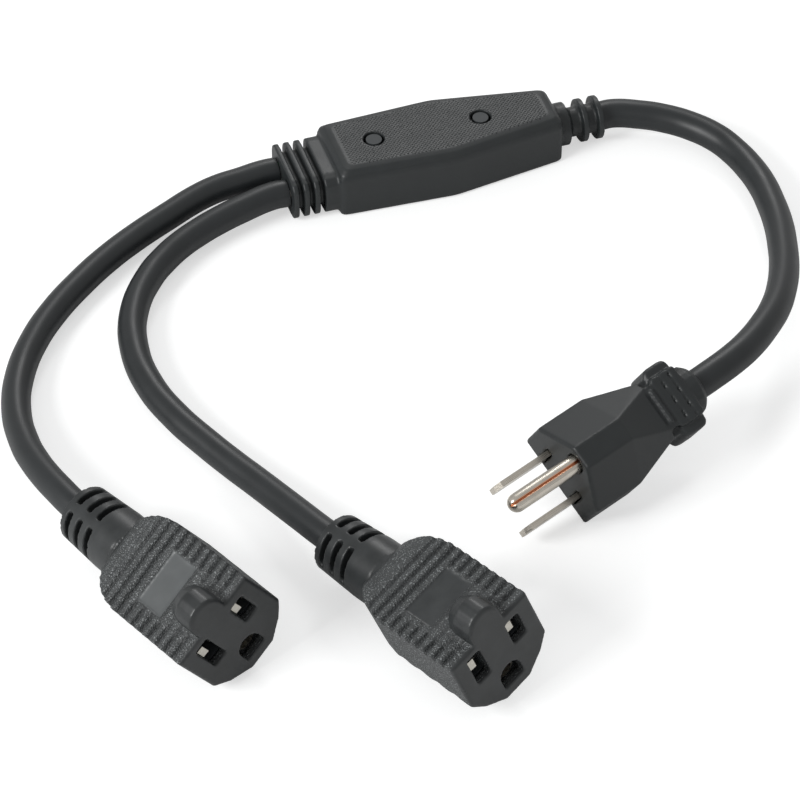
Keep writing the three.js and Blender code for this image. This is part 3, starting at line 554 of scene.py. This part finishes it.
inner_vinyl = plain_finish("inner_moulding", "2b2e30", "383c3e", 2 * mm, 0.55)
bronze = plain_finish("contact_metal", "b5b1a8", "dedbd2", 1 * mm, 0.34, 1.0)
tinned = plain_finish("crimp_metal", "8e8f8a", "bcbdb7", 1 * mm, 0.4, 1.0)
lead_colours = {
    "line": plain_finish("black_lead", "18191a", "232425", 3 * mm, 0.42),
    "neutral": plain_finish("white_lead", "d6d4cc", "e8e6df", 3 * mm, 0.42),
    "ground": plain_finish("green_lead", "27693b", "357f4a", 3 * mm, 0.42),
}


def contact_spring(side, pole, across_at):
    """Strip folded into two leaves that grip the blade; one edge is bent in behind the slot as a stop."""
    origin, *turn = socket_places[side]
    ahead, across, up = axes_of(*turn)
    sheet, front, back = 0.4 * mm, 58.2 * mm, 43.5 * mm
    fold = [(back, 1.2), (back, -1.2), (front - 4.5 * mm, -1.2), (front - 2.5 * mm, -1.75)]
    fold += [(front, -1.75), (front, 0.0)]
    other = [(back, -1.2), (back, 1.2), (front - 4.5 * mm, 1.2), (front - 3.2 * mm, 1.75)]
    work = bmesh.new()
    for path, low, high in ((fold[1:4], -2.9, 2.9), (fold[3:], -0.2, 2.9), (other, -2.9, 2.9)):
        path = [Vector((a, b * mm, 0)) for a, b in path]
        rows = []
        for k, here in enumerate(path):
            run = (path[min(k + 1, len(path) - 1)] - path[max(k - 1, 0)]).normalized()
            aside = Vector((-run.y, run.x, 0)) * sheet / 2
            rows.append([
                work.verts.new(origin + ahead * q.x + across * (q.y + across_at) + up * (4.3 + z) * mm)
                for z in (low, high) for q in (here + aside, here - aside)])
        for a, b in zip(rows, rows[1:]):
            for i, j in ((0, 1), (1, 3), (3, 2), (2, 0)):
                work.faces.new((a[i], a[j], b[j], b[i]))
        for row in (rows[0], rows[-1]):
            work.faces.new((row[0], row[1], row[3], row[2]))
    name = side + "_spring_" + pole
    piece = bpy.data.objects.new(name, mesh_of(work, name, bronze))
    bpy.context.collection.objects.link(piece)
    bevel = piece.modifiers.new("edges", "BEVEL")
    bevel.width = 0.06 * mm
    bevel.segments = 2
    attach(piece, "root")
    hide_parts(side + "_contact_" + pole)
    return piece


springs = {side: [contact_spring(side, "line", -6.35 * mm), contact_spring(side, "neutral", 6.35 * mm)]
    for side in socket_places}
for name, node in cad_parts.items():
    if "_lead_" in name:
        node.material_slots[0].material = lead_colours[name.rsplit("_", 1)[1]]
    elif name.startswith("splice"):
        node.material_slots[0].material = tinned
    elif "_sleeve" in name:
        node.material_slots[0].material = bronze
    elif name in ("junction_inner_mould", "plug_bridge") or name.endswith("_carrier"):
        node.material_slots[0].material = inner_vinyl


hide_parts("trunk_cord")
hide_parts("left_branch_cord")
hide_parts("right_branch_cord")


# TABLE AND LIGHT: a white sweep in a white studio, with a soft lamp from the left and a weaker one
# from behind. The sweep shows pure white round the object and keeps its soft shadow.
def table_finish():
    finish = Finish("white_sweep", Roughness=0.9)
    finish.shader.inputs["Specular IOR Level"].default_value = 0.0
    tone = finish.blotches(150 * mm, 2)
    seen = finish.node("ShaderNodeLightPath", {}, {}, "Is Camera Ray")
    finish.shader.inputs["Emission Strength"].default_value = 0.55
    finish.vary(
        Base_Color=finish.blend(seen, finish.blend(tone, shade("e4e5e5"), shade("e9e9e9")), shade("cfd0d0")),
        Emission_Color=finish.blend(seen, shade("000000"), shade("ffffff")),
    )
    return finish.material


table = bpy.data.objects.new("table", bpy.data.meshes.new("table"))
table.data.from_pydata([(-4, -4, 0), (4, -4, 0), (4, 4, 0), (-4, 4, 0)], [], [(0, 1, 2, 3)])
table.location.z = -0.0002
table.data.materials.append(table_finish())
bpy.context.collection.objects.link(table)

world = bpy.data.worlds.new("studio")
bpy.context.scene.world = world
world.use_nodes = True
sky = world.node_tree.nodes["Background"]
rays = world.node_tree.nodes.new("ShaderNodeLightPath")
level = world.node_tree.nodes.new("ShaderNodeMapRange")
level.inputs["To Min"].default_value = 0.5
level.inputs["To Max"].default_value = 1.0
world.node_tree.links.new(level.inputs["Value"], rays.outputs["Is Camera Ray"])
world.node_tree.links.new(sky.inputs["Strength"], level.outputs[0])
sky.inputs["Color"].default_value = (1, 1, 1, 1)


def soft_lamp(name, place, size, power):
    lamp = bpy.data.objects.new(name, bpy.data.lights.new(name, "AREA"))
    lamp.data.shape = "DISK"
    lamp.data.size = size
    lamp.data.energy = power
    lamp.location = place
    lamp.rotation_euler = (lamp_aim - Vector(place)).to_track_quat("-Z", "Y").to_euler()
    bpy.context.collection.objects.link(lamp)


lamp_aim = Vector((-0.03, -0.05, 0))
soft_lamp("left_lamp", (-1.15, -0.35, 0.75), 0.6, 14)
soft_lamp("back_lamp", (0.35, 1.0, 0.9), 0.4, 4)

bpy.context.scene.view_settings.view_transform = "Standard"
